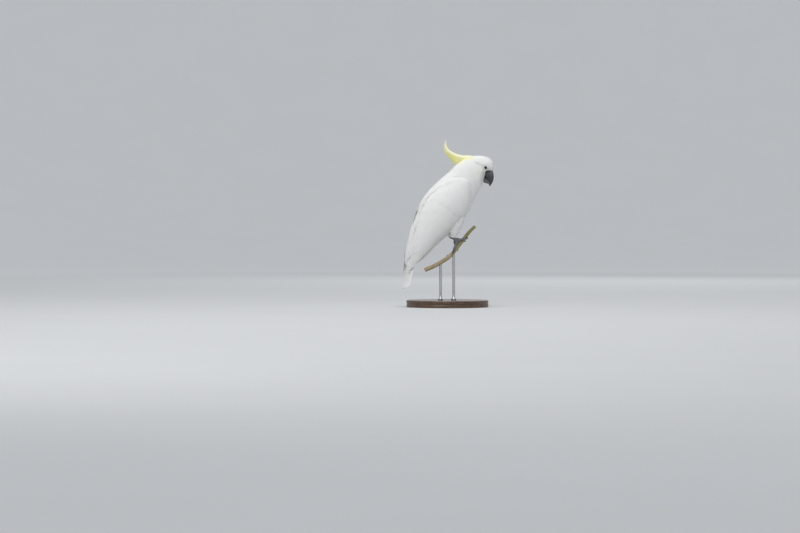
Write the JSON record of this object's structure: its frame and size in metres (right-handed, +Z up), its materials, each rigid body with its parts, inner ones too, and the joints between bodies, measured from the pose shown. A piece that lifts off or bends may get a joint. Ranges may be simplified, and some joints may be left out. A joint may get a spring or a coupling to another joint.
{
  "type": "sulphur-crested cockatoo model",
  "caption": "Life-size still model of a white cockatoo with a raised yellow crest, gripping a cut branch held over a round base by slim rods.",
  "frame": {"origin": "centre of the stand base's underside", "axes": "+Z up; the bird looks along -Y with its body in the X = 0 plane; its left side is +X"},
  "size_m": [0.236, 0.2687, 0.4824],
  "materials": {
    "body_plumage": "soft white overlapping contour feathers",
    "flight_plumage": "smooth white vanes with a faint warm grey shade",
    "crest_plumage": "pale lemon to yellow feathers",
    "bill_horn": "dark slate horn, slightly waxy, fine growth lines",
    "eye": "very dark brown, wet gloss",
    "foot_skin": "grey scaled skin with pale dusty joints",
    "claw_horn": "blackish horn",
    "bark": "tan to olive smooth bark with fine grain",
    "base_wood": "dark stained wood, satin",
    "rod_steel": "satin drawn steel"
  },
  "bodies": {
    "root": {"head": "body_plumage", "neck": "body_plumage", "trunk": "body_plumage", "crest": "crest_plumage", "bill_upper": "bill_horn", "bill_lower": "bill_horn", "eye_right": "eye", "eye_left": "eye", "wing_right": "flight_plumage", "wing_left": "flight_plumage", "primaries_right": "flight_plumage", "primaries_left": "flight_plumage", "tail": "flight_plumage", "thigh_right": "body_plumage", "thigh_left": "body_plumage", "foot_right": "foot_skin", "foot_left": "foot_skin", "claw_inner_front_right": "claw_horn", "claw_inner_rear_right": "claw_horn", "claw_outer_front_right": "claw_horn", "claw_outer_rear_right": "claw_horn", "claw_inner_front_left": "claw_horn", "claw_inner_rear_left": "claw_horn", "claw_outer_front_left": "claw_horn", "claw_outer_rear_left": "claw_horn", "perch": "bark", "stand_base": "base_wood", "stand_rod_rear": "rod_steel", "stand_rod_front": "rod_steel"}
  },
  "joints": []
}
